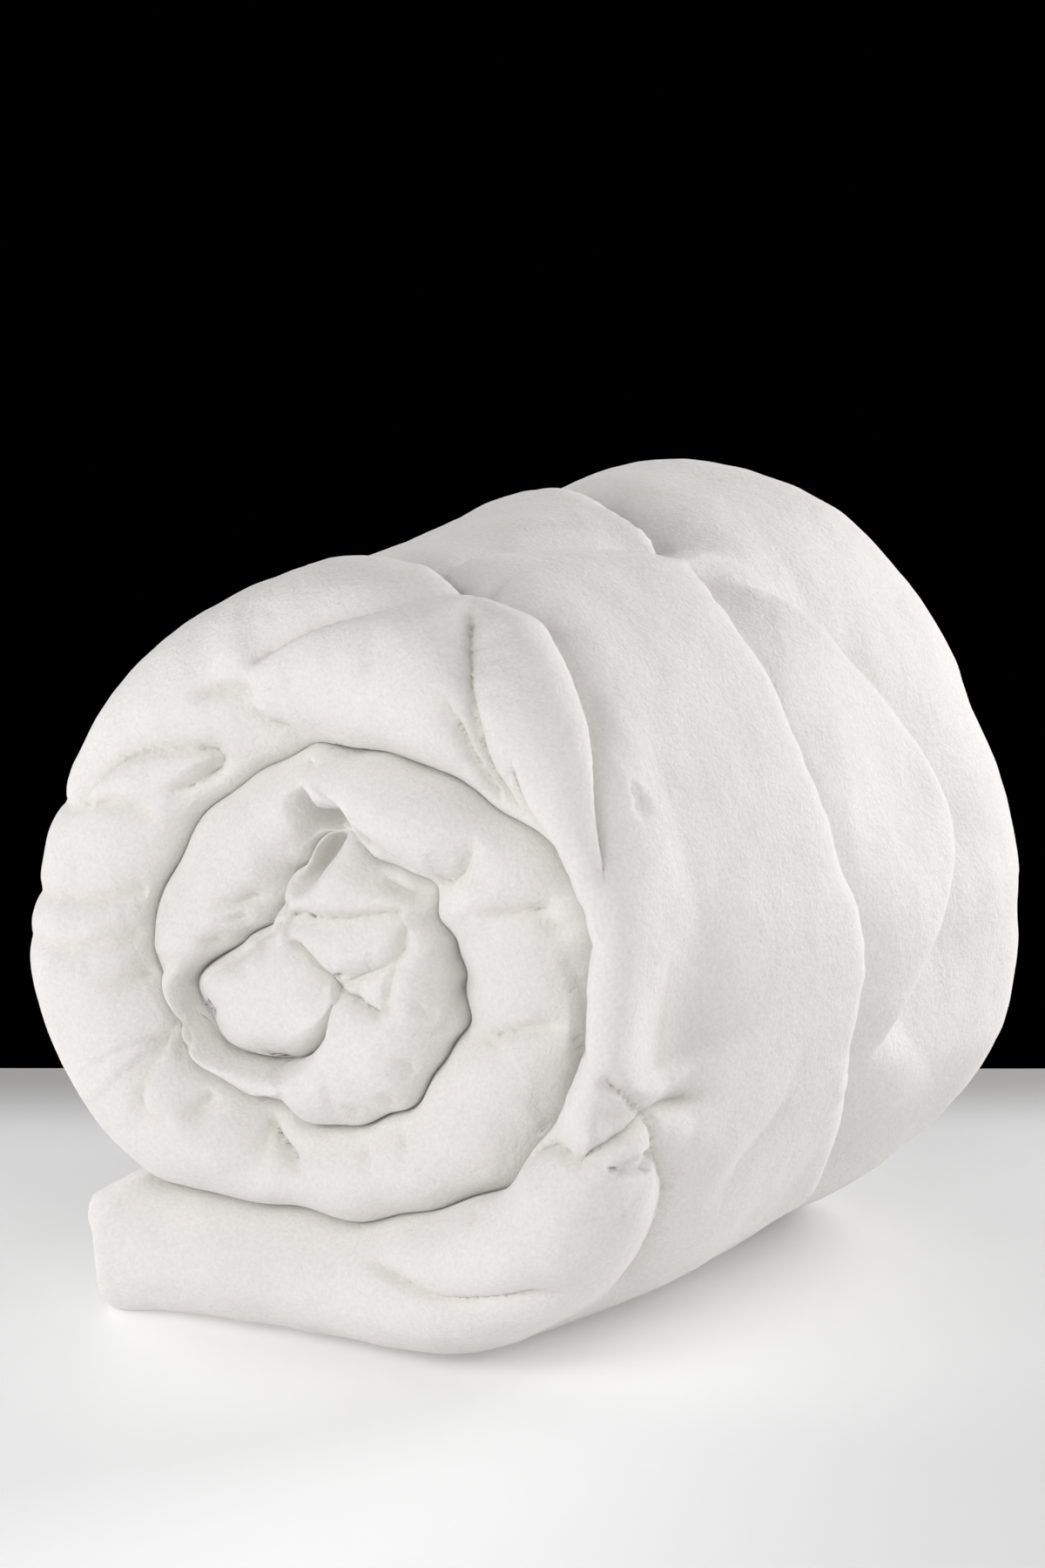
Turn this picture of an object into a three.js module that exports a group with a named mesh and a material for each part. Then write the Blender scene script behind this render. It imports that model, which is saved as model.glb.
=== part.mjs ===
// A thick filled quilt, folded lengthwise and rolled up, resting on a flat spot.
// Millimetres, +Z up. The roll's axis runs along Y, with its open end towards -Y.
// The origin is on the floor under the roll. The quilt is one piece of cloth, so it is one
// closed solid: a filled band wound inwards from its loose end to its middle.

import * as THREE from 'three';

// Place of the roll's axis, and where its two ends lie
const axisX = -5;
const axisZ = 230;
const nearEnd = -225;
const farEnd = 255;

// How the filled band is wound
const looseEndAngle = 226;
const outerTurnEnd = 586;
const innerTurnsStart = 604;
const bandEndAngle = 1345;
const bandEndRadius = 24;
const heartRadius = 2.5;
const turnGap = 1.2;

// Where the outer turn passes under the loose end it fades into the turns inside it, and
// where the band nears the heart its inner edge flattens, all in degrees along the band
const edgeFade = { start: 564, end: 604 };
const skinFade = { start: 574, end: 594 };
const heartFade = { start: 945, end: 1005 };

// Roundness of the band's long edges: how far each edge curves back from the end face
const edgeDepth = 36;
const outerEdgeDepth = 72;
const farEdgeDepth = 62;
const heartEdgeDepth = 14;
const edgeSquareness = 2.3;
const outerCrownPlace = 0.42;

// The end face isn't flat: its crown sways in and out slowly along the band
const crownSway = 8;
const slowSway = { turnsPerTurn: 1.7, start: 40, share: 1 };
const quickSway = { turnsPerTurn: 3.1, start: 0, share: 0.75 };

// Radius of the band's outer face, at directions turned from +X towards +Z around the axis.
// skin is the outer turn at the open end, and middle and far are what it gains further back.
// second and core are the two turns inside it.
const windings = [
  { angle: 226, skin: 262, middle: 0, far: 0, second: 199, core: 109 },
  { angle: 232, skin: 296, middle: 0, far: 0, second: 186, core: 106 },
  { angle: 238, skin: 274, middle: 0, far: 0, second: 174, core: 103 },
  { angle: 246, skin: 254, middle: 2, far: 2, second: 164, core: 99 },
  { angle: 256, skin: 239, middle: 2, far: 2, second: 155, core: 96 },
  { angle: 270, skin: 233, middle: 2, far: 2, second: 150, core: 93 },
  { angle: 285, skin: 236, middle: 4, far: 4, second: 147, core: 87 },
  { angle: 300, skin: 232, middle: 8, far: 8, second: 147, core: 80 },
  { angle: 318, skin: 222, middle: 12, far: 16, second: 152, core: 77 },
  { angle: 336, skin: 209, middle: 18, far: 28, second: 151, core: 78 },
  { angle: 354, skin: 199, middle: 25, far: 28, second: 152, core: 72 },
  { angle: 372, skin: 198, middle: 22, far: 16, second: 158, core: 68 },
  { angle: 390, skin: 205, middle: 19, far: 3, second: 154, core: 70 },
  { angle: 408, skin: 219, middle: 11, far: 1, second: 140, core: 73 },
  { angle: 426, skin: 229, middle: 4, far: 2, second: 130, core: 70 },
  { angle: 444, skin: 231, middle: -1, far: 5, second: 127, core: 76 },
  { angle: 462, skin: 231, middle: -4, far: 2, second: 125, core: 78 },
  { angle: 480, skin: 231, middle: -8, far: -6, second: 125, core: 65 },
  { angle: 498, skin: 232, middle: -10, far: -12, second: 126, core: 58 },
  { angle: 516, skin: 226, middle: -8, far: -12, second: 130, core: 56 },
  { angle: 534, skin: 224, middle: -8, far: -16, second: 132, core: 73 },
  { angle: 552, skin: 221, middle: -8, far: -14, second: 128, core: 96 },
  { angle: 568, skin: 214, middle: -4, far: -8, second: 121, core: 96 },
  { angle: 586, skin: 199, middle: 0, far: 0, second: 109, core: 86 },
];

// The main folds in the cloth. Each is a groove along a path of points near the surface.
// depth is how far its bottom sinks, width how far its soft shoulders reach to each side,
// and lift how much its right side, seen along the path from outside, stands over its left.
const folds = [
  {
    name: 'edge of the front band', depth: 15, width: 40, lift: 4,
    path: [[-75, -215, 392], [-50, -217, 409], [2, -214, 436], [66, -180, 447], [88, -150, 440]],
  },
  {
    name: 'behind the near ring', depth: 22, width: 60, lift: 5,
    path: [[88, -150, 440], [66, -172, 447], [0, -128, 460], [-60, -108, 450],
      [-130, -92, 415], [-185, -85, 350], [-212, -78, 270], [-205, -75, 180]],
  },
  {
    name: 'lip of the middle ring', depth: 14, width: 38, lift: 4,
    path: [[-60, -108, 450], [3, -132, 460], [19, -81, 460], [59, -15, 454], [75, 23, 449]],
  },
  {
    name: 'before the far ring', depth: 24, width: 64, lift: -5,
    path: [[75, 23, 449], [59, 40, 453], [27, 57, 459], [-29, 96, 455],
      [-110, 105, 415], [-165, 100, 350], [-190, 95, 260], [-175, 95, 160]],
  },
  {
    name: 'back of the near belly', depth: 20, width: 62, lift: 5,
    path: [[75, 23, 449], [104, 18, 436], [143, -6, 406], [190, -14, 342], [212, -6, 280],
      [218, 6, 214], [211, 5, 168], [198, 25, 122], [160, 48, 59], [120, 60, 20]],
  },
  {
    name: 'front of the far belly', depth: 20, width: 54, lift: 0,
    path: [[104, 18, 436], [132, 65, 418], [174, 95, 380], [206, 130, 341], [222, 145, 290],
      [226, 115, 238], [223, 88, 198], [215, 57, 167], [202, 34, 129]],
  },
  {
    name: 'left side of the leaf fold', depth: 15, width: 30, lift: 0,
    path: [[66, -180, 447], [77, -204, 433], [83, -224, 396], [96, -222, 359], [114, -214, 330]],
  },
  {
    name: 'right side of the leaf fold', depth: 18, width: 34, lift: 4,
    path: [[88, -150, 440], [126, -173, 410], [150, -194, 370], [162, -215, 326], [164, -223, 298]],
  },
  {
    name: 'gather at the lower right', depth: 22, width: 40, lift: 0,
    path: [[130, -228, 139], [160, -231, 150], [187, -208, 168], [194, -138, 173]],
  },
  {
    name: 'gather running down to the floor', depth: 22, width: 46, lift: 0,
    path: [[187, -205, 165], [182, -177, 122], [178, -158, 107], [165, -150, 77], [126, -123, 36]],
  },
  {
    name: 'hollow beside the front edge', depth: 9, width: 44, lift: 0,
    path: [[171, -199, 323], [188, -197, 257], [192, -174, 181]],
  },
  {
    name: 'lip of the layer on the floor', depth: 8, width: 28, lift: 2,
    path: [[13, -214, 62], [39, -220, 54], [80, -227, 52], [118, -228, 58], [146, -208, 66]],
  },
  {
    name: 'pleat at the upper left', depth: 15, width: 34, lift: 4,
    path: [[-191, -205, 306], [-162, -215, 333], [-144, -215, 342], [-93, -215, 347], [-75, -210, 333]],
  },
  {
    name: 'pleat at the lower left', depth: 14, width: 32, lift: 4,
    path: [[-102, -215, 195], [-118, -218, 178], [-135, -218, 156], [-142, -215, 135], [-115, -215, 128]],
  },
  {
    name: 'pinch in the band above', depth: 12, width: 32, lift: 0,
    path: [[-89, -215, 385], [-72, -218, 384], [-69, -218, 357], [-77, -212, 326]],
  },
  {
    name: 'crease across the core', depth: 17, width: 32, lift: 3,
    path: [[-36, -215, 257], [1, -218, 260], [41, -215, 267], [52, -215, 275]],
  },
  {
    name: 'crease down the left of the core', depth: 15, width: 30, lift: -3,
    path: [[-39, -215, 238], [-25, -218, 227], [-8, -218, 218], [2, -218, 214]],
  },
];
const foldPathSteps = 30;
const foldReach = 40;
const heightCount = 0.2;
const shoulderReach = 1.6;
const shoulderStart = 10;

// How finely the surface is divided
const outerTurnSteps = 62;
const innerTurnSteps = 60;
const nearEdgePoints = 15;
const outsidePoints = 16;
const farEdgePoints = 8;
const insidePoints = 3;

// Smooth curve through one column of a table that is sorted by angle, without overshoot
function through(rows, column, angle) {
  const last = rows.length - 1;
  const at = THREE.MathUtils.clamp(angle, rows[0].angle, rows[last].angle);
  let i = 0;
  while (i < last - 1 && at > rows[i + 1].angle) i += 1;
  const slope = (k) => (rows[k + 1][column] - rows[k][column]) / (rows[k + 1].angle - rows[k].angle);
  const tangent = (k) => {
    if (k === 0) return slope(0);
    if (k === last) return slope(last - 1);
    const before = slope(k - 1);
    const after = slope(k);
    return before * after > 0 ? (2 * before * after) / (before + after) : 0;
  };
  const span = rows[i + 1].angle - rows[i].angle;
  const t = (at - rows[i].angle) / span;
  const startShare = 2 * t ** 3 - 3 * t ** 2 + 1;
  const startPull = (t ** 3 - 2 * t ** 2 + t) * span;
  const endPull = (t ** 3 - t ** 2) * span;
  return startShare * rows[i][column] + (1 - startShare) * rows[i + 1][column]
    + startPull * tangent(i) + endPull * tangent(i + 1);
}

// The whole winding as one table, from the loose end to the heart of the roll
const wholeBand = [
  ...windings.map((row) => ({ angle: row.angle, radius: row.skin })),
  ...windings.slice(1).map((row) => ({ angle: row.angle + 360, radius: row.second })),
  ...windings.slice(1).map((row) => ({ angle: row.angle + 720, radius: row.core })),
  { angle: bandEndAngle, radius: bandEndRadius },
];

function outerRadius(angle) {
  return through(wholeBand, 'radius', angle);
}

function innerRadius(angle) {
  return angle + 360 <= bandEndAngle ? outerRadius(angle + 360) + turnGap : heartRadius;
}

// What the outer turn gains in radius between the open end and the far end
const gainStart = -150;
const gainMiddle = 0;
const gainEnd = 170;
const gainPower = 1.5;
function gainAlongRoll(angle, y) {
  if (angle > outerTurnEnd) return 0;
  const middle = through(windings, 'middle', angle);
  const far = through(windings, 'far', angle);
  if (y < gainMiddle) {
    const rise = THREE.MathUtils.clamp((y - gainStart) / (gainMiddle - gainStart), 0, 1);
    return middle * Math.sin((rise * Math.PI) / 2);
  }
  const onward = THREE.MathUtils.clamp((y - gainMiddle) / (gainEnd - gainMiddle), 0, 1);
  return middle + (far - middle) * Math.sin((onward * Math.PI) / 2);
}

function swayAt(sway, angle) {
  return sway.share * Math.sin(THREE.MathUtils.degToRad(angle * sway.turnsPerTurn + sway.start));
}

// One cut across the band, as points that say where they lie in it.
// across is 0 on the inner face and 1 on the outer face, y is the place along the roll,
// and free is 1 where the cloth shows and 0 where it is pressed between two turns.
// radial is how far a fold there may move the cloth towards the roll's axis too.
const pressedShare = 0.35;
const radialFade = { start: -0.1, end: 0.5 };
function bandSection(angle) {
  const fadeOut = THREE.MathUtils.smoothstep(angle, edgeFade.start, edgeFade.end);
  const isOuter = 1 - THREE.MathUtils.smoothstep(angle, skinFade.start, skinFade.end);
  const intoHeart = THREE.MathUtils.smoothstep(angle, heartFade.start, heartFade.end);
  const outerDepth = THREE.MathUtils.lerp(outerEdgeDepth, edgeDepth, fadeOut);
  const innerDepth = THREE.MathUtils.lerp(edgeDepth, heartEdgeDepth, intoHeart);
  const crownAcross = THREE.MathUtils.lerp(outerCrownPlace, 0.5, fadeOut);
  const crown = nearEnd + crownSway * (swayAt(slowSway, angle) + swayAt(quickSway, angle));
  const points = [];
  const edge = (count, start, end, crownY, inward, depthInside, depthOutside) => {
    for (let k = 0; k < count; k += 1) {
      const turn = start + ((end - start) * k) / count;
      const aside = Math.sign(turn) * Math.abs(Math.sin(turn)) ** (2 / edgeSquareness);
      const ahead = Math.abs(Math.cos(turn)) ** (2 / edgeSquareness);
      const side = aside < 0 ? crownAcross : 1 - crownAcross;
      const depth = aside < 0 ? depthInside : depthOutside;
      const shown = THREE.MathUtils.clamp(ahead / pressedShare, 0, 1);
      points.push({
        across: crownAcross + side * aside,
        y: crownY + inward * depth * (1 - ahead),
        free: aside > 0 ? Math.max(shown, isOuter) : shown,
        radial: isOuter * THREE.MathUtils.smoothstep(aside, radialFade.start, radialFade.end),
      });
    }
  };
  const run = (count, across, from, to, free) => {
    for (let k = 0; k < count; k += 1) {
      const y = THREE.MathUtils.lerp(from, to, k / count);
      points.push({ across, y, free, radial: isOuter });
    }
  };
  edge(nearEdgePoints, -Math.PI / 2, Math.PI / 2, crown, 1, innerDepth, outerDepth);
  run(outsidePoints, 1, crown + outerDepth, farEnd - farEdgeDepth, isOuter);
  edge(farEdgePoints, Math.PI / 2, -Math.PI / 2, farEnd, -1, innerDepth, farEdgeDepth);
  run(insidePoints, 0, farEnd - innerDepth, crown + innerDepth, 0);
  return points;
}

function placeInRoll(angle, across, y) {
  const inner = innerRadius(angle);
  const gain = gainAlongRoll(angle, y) * across ** gainPower;
  const radius = inner + (outerRadius(angle) - inner) * across + gain;
  const turn = THREE.MathUtils.degToRad(angle);
  return new THREE.Vector3(axisX + radius * Math.cos(turn), y, axisZ + radius * Math.sin(turn));
}

// The two ends of the band are closed by a few narrowing sections, which round them off
const looseEndBulge = 16;
const heartEndBulge = 3;
const endRoundings = [20, 45, 68, 84];
const endTaper = 0.06;
function roundedEnd(angle, direction, bulge) {
  return endRoundings.map((degrees) => {
    const turn = THREE.MathUtils.degToRad(degrees);
    const keep = Math.cos(turn);
    const middleRadius = (outerRadius(angle) + innerRadius(angle)) / 2;
    const ahead = THREE.MathUtils.radToDeg((bulge * Math.sin(turn)) / middleRadius);
    return bandSection(angle).map((point) => {
      const across = 0.5 + (point.across - 0.5) * keep;
      const middleY = (nearEnd + farEnd) / 2;
      const y = middleY + (point.y - middleY) * (1 - (1 - keep) * endTaper);
      const place = placeInRoll(angle, across, y);
      const around = THREE.MathUtils.degToRad(direction * ahead);
      const x = place.x - axisX;
      const z = place.z - axisZ;
      place.x = axisX + x * Math.cos(around) - z * Math.sin(around);
      place.z = axisZ + x * Math.sin(around) + z * Math.cos(around);
      return { place, free: 0, radial: 0 };
    });
  });
}

// Rows of points from the loose end to the heart, each row one section of the band
function windBand() {
  const angles = [];
  for (let k = 0; k < outerTurnSteps; k += 1) {
    angles.push(THREE.MathUtils.lerp(looseEndAngle, innerTurnsStart, k / outerTurnSteps));
  }
  for (let k = 0; k <= innerTurnSteps; k += 1) {
    angles.push(THREE.MathUtils.lerp(innerTurnsStart, bandEndAngle, k / innerTurnSteps));
  }
  const rows = angles.map((angle) => bandSection(angle).map((point) => ({
    place: placeInRoll(angle, point.across, point.y),
    free: point.free,
    radial: point.radial,
  })));
  const looseEnd = roundedEnd(looseEndAngle, -1, looseEndBulge).reverse();
  const heartEnd = roundedEnd(bandEndAngle, 1, heartEndBulge);
  return [...looseEnd, ...rows, ...heartEnd];
}

// Outward direction at each point, from its neighbours along and across the band
function addOutwardDirections(rows) {
  const count = rows[0].length;
  rows.forEach((row, i) => {
    const before = rows[Math.max(i - 1, 0)];
    const after = rows[Math.min(i + 1, rows.length - 1)];
    row.forEach((point, j) => {
      const along = after[j].place.clone().sub(before[j].place);
      const across = row[(j + 1) % count].place.clone().sub(row[(j + count - 1) % count].place);
      point.outward = across.cross(along).normalize();
    });
  });
}

// The path of a fold, drawn through its points and laid flat on the nearest visible cloth
function layPathOnCloth(path, shown) {
  const curve = new THREE.CatmullRomCurve3(path.map((p) => new THREE.Vector3(...p)));
  return curve.getPoints(foldPathSteps).map((place) => {
    let nearest = shown[0];
    shown.forEach((point) => {
      const closer = point.place.distanceToSquared(place) < nearest.place.distanceToSquared(place);
      if (closer) nearest = point;
    });
    const height = place.clone().sub(nearest.place).dot(nearest.outward);
    return { place: place.addScaledVector(nearest.outward, -height), outward: nearest.outward };
  });
}

// How far one fold moves a point: a groove between two round shoulders, one side lifted.
// Distance is measured along the cloth, so what lies above or below the path counts little.
function foldMove(fold, line, place) {
  let closest = Infinity;
  let side = 0;
  for (let k = 0; k < line.length - 1; k += 1) {
    const from = line[k].place;
    const step = line[k + 1].place.clone().sub(from);
    const length = Math.max(step.lengthSq(), 1e-6);
    const share = THREE.MathUtils.clamp(place.clone().sub(from).dot(step) / length, 0, 1);
    const away = place.clone().sub(from).addScaledVector(step, -share);
    const height = away.dot(line[k].outward);
    if (Math.abs(height) < foldReach) away.addScaledVector(line[k].outward, (heightCount - 1) * height);
    if (away.length() < closest) {
      closest = away.length();
      side = Math.sign(away.dot(step.clone().cross(line[k].outward)));
    }
  }
  const inside = THREE.MathUtils.clamp(1 - closest / fold.width, 0, 1);
  const groove = 1 - Math.sqrt(1 - inside ** 2);
  const rise = Math.min(closest / shoulderStart, 1);
  const shoulder = rise * Math.exp(-((closest / (shoulderReach * fold.width)) ** 2));
  return -fold.depth * groove + fold.lift * side * shoulder;
}

// Every fold moves the shown points along their outward direction
function pressFolds(rows) {
  const points = rows.flat();
  const shown = points.filter((point) => point.free > 0);
  const lines = folds.map((fold) => layPathOnCloth(fold.path, shown));
  const moves = shown.map((point) => {
    const amount = folds.reduce((sum, fold, k) => sum + foldMove(fold, lines[k], point.place), 0);
    const way = point.outward.clone();
    way.x *= point.radial;
    way.z *= point.radial;
    return way.normalize().multiplyScalar(amount * point.free);
  });
  shown.forEach((point, k) => point.place.add(moves[k]));
}

// The closed surface: the rows joined into a tube, with a fan over each of its two ends
function closedSurface(rows) {
  const count = rows[0].length;
  const positions = [];
  rows.flat().forEach(({ place }) => positions.push(place.x, place.y, Math.max(place.z, 0)));
  const faces = [];
  for (let i = 0; i < rows.length - 1; i += 1) {
    for (let j = 0; j < count; j += 1) {
      const next = (j + 1) % count;
      const a = i * count + j;
      const b = i * count + next;
      faces.push(a, b, b + count, a, b + count, a + count);
    }
  }
  const cover = (rowIndex, flipped) => {
    const middle = new THREE.Vector3();
    rows[rowIndex].forEach(({ place }) => middle.addScaledVector(place, 1 / count));
    const centre = positions.length / 3;
    positions.push(middle.x, middle.y, Math.max(middle.z, 0));
    for (let j = 0; j < count; j += 1) {
      const a = rowIndex * count + j;
      const b = rowIndex * count + ((j + 1) % count);
      faces.push(...(flipped ? [a, b, centre] : [b, a, centre]));
    }
  };
  cover(0, false);
  cover(rows.length - 1, true);
  const geometry = new THREE.BufferGeometry();
  geometry.setAttribute('position', new THREE.Float32BufferAttribute(positions, 3));
  geometry.setIndex(faces);
  geometry.computeVertexNormals();
  return geometry;
}

function makeQuilt() {
  const rows = windBand();
  addOutwardDirections(rows);
  pressFolds(rows);
  const softWhiteCotton = new THREE.MeshStandardMaterial({
    color: new THREE.Color().setRGB(0.87, 0.855, 0.835, THREE.SRGBColorSpace),
    roughness: 0.95,
    metalness: 0,
  });
  const quilt = new THREE.Mesh(closedSurface(rows), softWhiteCotton);
  quilt.name = 'quilt';
  return quilt;
}

const rolledQuilt = new THREE.Group();
rolledQuilt.add(makeQuilt());

export default rolledQuilt;
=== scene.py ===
import math
import bpy
import numpy as np
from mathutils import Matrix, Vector


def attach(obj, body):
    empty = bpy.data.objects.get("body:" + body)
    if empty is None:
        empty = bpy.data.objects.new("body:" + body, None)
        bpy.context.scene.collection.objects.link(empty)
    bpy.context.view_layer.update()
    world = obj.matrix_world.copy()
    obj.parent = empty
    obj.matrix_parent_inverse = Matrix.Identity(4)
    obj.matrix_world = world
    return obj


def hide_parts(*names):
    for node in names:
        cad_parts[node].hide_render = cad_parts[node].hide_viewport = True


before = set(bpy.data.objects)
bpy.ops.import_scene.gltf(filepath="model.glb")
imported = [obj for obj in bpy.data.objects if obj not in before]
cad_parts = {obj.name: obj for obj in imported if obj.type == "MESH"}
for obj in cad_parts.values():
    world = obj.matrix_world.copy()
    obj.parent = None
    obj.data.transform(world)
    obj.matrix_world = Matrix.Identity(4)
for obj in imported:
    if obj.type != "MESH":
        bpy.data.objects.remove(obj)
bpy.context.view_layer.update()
print("frame loaded")

mm = 0.001  # the tables of the quilt are in millimetres, Blender works in metres


# The quilt: a filled band wound up from its loose end to its middle

winding = {
    "axisX": -5,
    "axisZ": 230,
    "nearEnd": -225,
    "farEnd": 255,
    "turnsPressed": 0.8,       # the turns press this far into each other where they touch
    "looseEndAngle": 226,
    "outerTurnEnd": 586,
    "innerTurnsStart": 604,
    "secondTurnEnd": 964,
    "bandEndAngle": 1345,
    "bandEndRadius": 24,
    "heartRadius": 1.0,
    "seamDepth": 33,           # how far the cloth curves back from its crown to the seam
    "outerEdgeDepth": 72,
    "farEdgeDepth": 62,
    "heartDepth": 4,
    "squeezedBelow": 52,       # where the band is thinner than this, it lies deeper by the share below
    "squeezedShare": 0.15,
    "softShoulder": 0.7,       # shares of the two curves that lead into a seam, and the power
    "fullShoulder": 0.3,       # of the second
    "shoulderPower": 8,
    "edgeSquareness": 2.15,
    "outerCrownPlace": 0.42,   # where the crown lies, from 0 on the inner face to 1 on the outer face
    "innerCrownPlace": 0.5,
    "sidewaysOn": (-0.1, 0.5),  # the open edge may move sideways from here outwards
    "besideEdge": (0.02, 0.12),
    "crownSway": 8,            # how far the crown sways in and out along the band
    "swayLostInHeart": 0.8,
    "sunkTurn": 15,            # the second turn lies this much deeper on the right
    "sunkAt": 715,             # most at this direction along the band,
    "sunkOver": 62,            # as a bell over about this many degrees to each side
    "gainFrom": -150,          # places along the roll where the outer turn's gain starts,
    "gainMiddle": 0,           # reaches the table's middle value
    "gainTo": 170,             # and its far value
    "gainPower": 1.5,
    "looseEndBulge": 16,
    "heartEndBulge": 3,
    "endTaper": 0.06,
    "boundaryWobble": 1.6,
}

# Where along the band, in degrees, one way of shaping it gives way to the next
changes = {
    "edgeToSeam": (564, 604),
    "skinGoesUnder": (574, 594),
    "wobbleStarts": (575, 620),
    "intoHeart": (945, 1005),
    "wobbleEnds": (1280, 1330),
}

# Slow waves along the band, in rows of (waves per turn, start in degrees, share)
boundaryWaves = [(9.3, 0, 1), (16.7, 50, 0.7)]
swayWaves = [(1.7, 40, 1), (3.1, 0, 0.75)]

# The band's two ends are closed by rings at these shares of a quarter turn, in degrees
endRoundings = (12, 24, 36, 48, 60, 72, 84)

# angle: direction from +X towards +Z. skin: radius of the outer turn at the open end,
# middle and far: what it gains further back. second and core: radius of the inner turns.
windingColumns = ["angle", "skin", "middle", "far", "second", "core"]
windingRows = np.array([
    (226, 262, 0, 0, 199, 109),
    (232, 296, 0, 0, 186, 106),
    (238, 274, 0, 0, 174, 103),
    (246, 254, 2, 2, 164, 99),
    (256, 239, 2, 2, 155, 96),
    (270, 233, 2, 2, 150, 93),
    (285, 236, 4, 4, 147, 87),
    (300, 232, 8, 8, 147, 80),
    (318, 222, 12, 16, 152, 72),
    (336, 209, 18, 28, 151, 68),
    (354, 199, 25, 28, 152, 62),
    (372, 198, 22, 16, 158, 59),
    (390, 205, 19, 4, 154, 64),
    (408, 219, 11, 5, 140, 73),
    (426, 225, 6, 8, 130, 70),
    (444, 223, 4, 9, 127, 76),
    (462, 223, -1, 6, 125, 78),
    (480, 223, -4, -2, 125, 65),
    (498, 225, -7, -9, 126, 58),
    (516, 220, -6, -10, 130, 56),
    (534, 219, -6, -14, 132, 70),
    (552, 217, -6, -12, 124, 109),
    (568, 212, -3, -7, 121, 104),
    (586, 199, 0, 0, 109, 86),
], dtype=float)

# Rings along the band and points across it, in the order near edge, outside, far edge, inside.
# Deep between the turns only every so many points are joined, as nobody sees them.
density = {
    "outerTurnRings": 396,
    "secondTurnRings": 300,
    "coreRings": 168,
    "nearEdge": 56,
    "outside": 72,
    "farEdge": 26,
    "inside": 4,
    "fineBeyond": 6,           # rings past the outer turn that are still joined at every point
    "hiddenStep": 18,
    "farStep": 2,
}

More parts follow.
